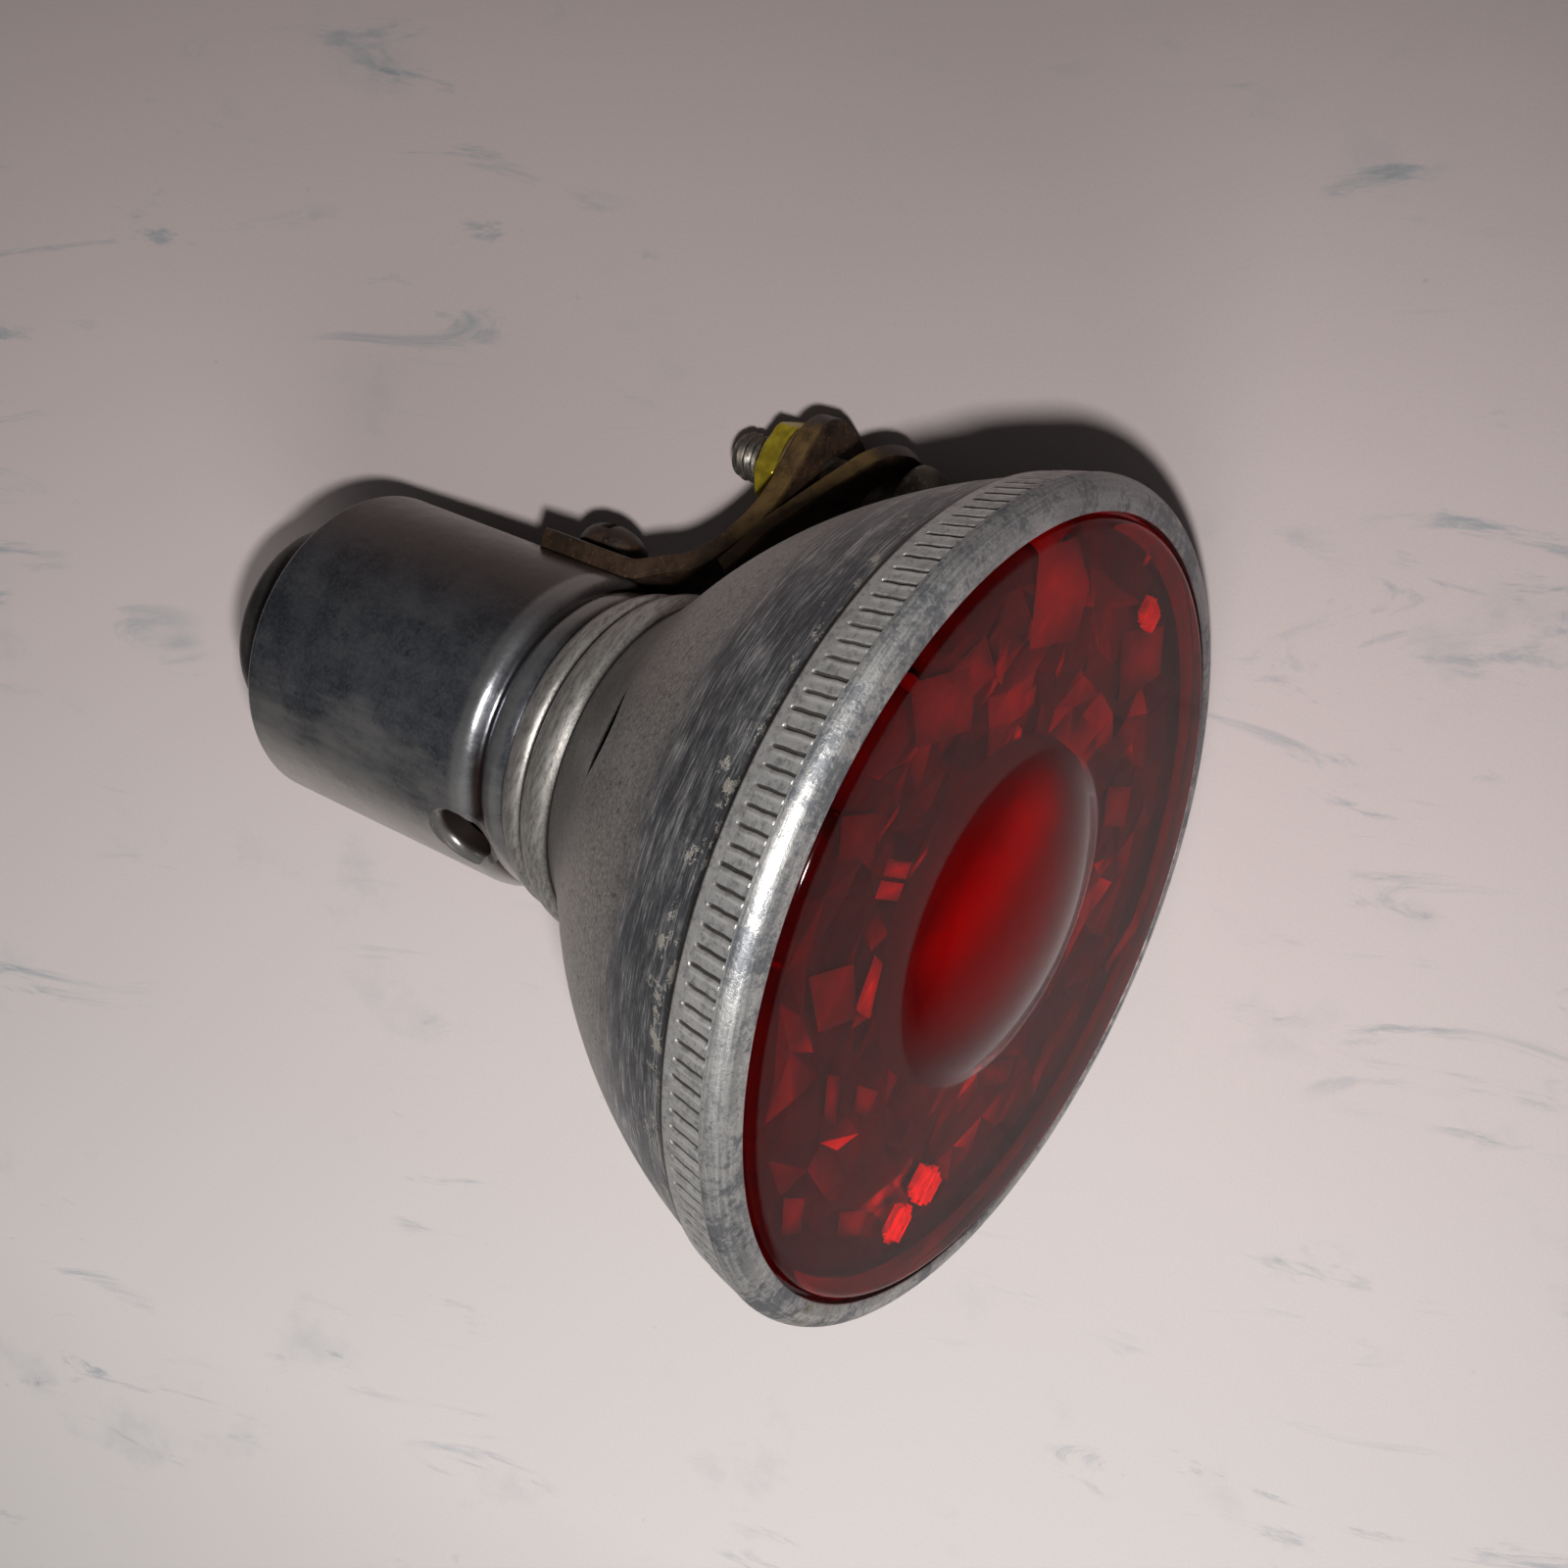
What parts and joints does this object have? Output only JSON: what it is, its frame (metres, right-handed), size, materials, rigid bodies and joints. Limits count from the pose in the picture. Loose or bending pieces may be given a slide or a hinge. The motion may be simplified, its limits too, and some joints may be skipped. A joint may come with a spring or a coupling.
{
  "type": "bicycle rear light",
  "caption": "Bell-shaped aluminium bicycle rear light: screwed ring with a coin edge, domed lens of red glass, plugged tail tube and a folded clamp bracket.",
  "frame": {"origin": "on the clamp bolt's axis, at the face of the tab that the washer and nut bear on", "axes": "lamp axis along Y with the lens facing -Y and the tail towards +Y; the lamp axis lies 25.5 mm above the clamp bolt along +Z; +X is the side with the vent slit and the cable hole"},
  "size_m": [0.0606, 0.0699, 0.0606],
  "materials": {
    "bell_aluminium": "spun, dull and brushed round",
    "tail_aluminium": "dark, mottled, half gloss",
    "ring_aluminium": "satin, bright on the crest",
    "plug_black": "moulded, half gloss",
    "lens_red": "moulded, transparent red",
    "gasket_dark": "dull",
    "bulb_clear": "clear",
    "cap_brass": "plain",
    "insulator_black": "glassy",
    "solder_grey": "dull",
    "filament_grey": "plain wire",
    "socket_brass": "tarnished",
    "carrier_brown": "pressed board",
    "contact_brass": "plain",
    "spring_steel": "plain wire",
    "bracket_rusty": "rusted",
    "fixing_rusty": "rusted",
    "nut_plain": "dull",
    "bolt_bright": "worn bright",
    "zinc_yellow": "yellow passivated"
  },
  "bodies": {
    "housing": {"bell_shell": "bell_aluminium", "tail_sleeve": "tail_aluminium", "socket_shell": "socket_brass", "socket_carrier": "carrier_brown", "terminal_bar": "contact_brass", "terminal_screw": "contact_brass", "bracket_strip": "bracket_rusty", "bracket_leaf": "bracket_rusty", "foot_screw": "fixing_rusty", "foot_nut": "nut_plain", "clamp_bolt": "bolt_bright"},
    "front": {"lens": "lens_red", "lens_gasket": "gasket_dark"},
    "ring": {"lens_ring": "ring_aluminium"},
    "bulb_foot": {"bulb_insulator": "insulator_black", "bulb_tip": "solder_grey"},
    "bulb": {"bulb_cap": "cap_brass", "bulb_glass": "bulb_clear", "bulb_filament": "filament_grey"},
    "contact": {"contact_plunger": "contact_brass", "contact_spring": "spring_steel"},
    "washer": {"clamp_washer": "zinc_yellow"},
    "nut": {"clamp_nut": "zinc_yellow"},
    "plug": {"tail_plug": "plug_black"}
  },
  "joints": [
    {"name": "front_slide", "type": "slide", "parent": "housing", "child": "front", "axis": [0, -1, 0], "range_m": [0, 0.0031]},
    {"name": "ring_turn", "type": "hinge", "parent": "front", "child": "ring", "pos_m": [0, 0, 0.0255], "axis": [0, -1, 0], "range_deg": [0, 1080]},
    {"name": "bulb_slide", "type": "slide", "parent": "housing", "child": "bulb_foot", "axis": [0, -1, 0], "range_m": [0, 0.0063]},
    {"name": "bulb_turn", "type": "hinge", "parent": "bulb_foot", "child": "bulb", "pos_m": [0, 0, 0.0255], "axis": [0, -1, 0], "range_deg": [0, 1260]},
    {"name": "contact_press", "type": "slide", "parent": "housing", "child": "contact", "axis": [0, 1, 0], "range_m": [0, 0.001], "stiffness_N_per_m": 600, "springref_m": -0.0015, "deforming": ["contact_spring"]},
    {"name": "washer_slide", "type": "slide", "parent": "housing", "child": "washer", "axis": [0, 1, 0], "range_m": [0, 0.0056]},
    {"name": "nut_turn", "type": "hinge", "parent": "washer", "child": "nut", "pos_m": [0, 0, 0], "axis": [0, 1, 0], "range_deg": [0, 2880]},
    {"name": "plug_pull", "type": "slide", "parent": "housing", "child": "plug", "axis": [0, 1, 0], "range_m": [0, 0.009]}
  ],
  "couplings": [
    {"joint": "front_slide", "follows": "ring_turn", "m_per_rad": 0.00015915},
    {"joint": "bulb_turn", "follows": "bulb_slide", "rad_per_m": 3471.4},
    {"joint": "nut_turn", "follows": "washer_slide", "rad_per_m": 8976}
  ]
}
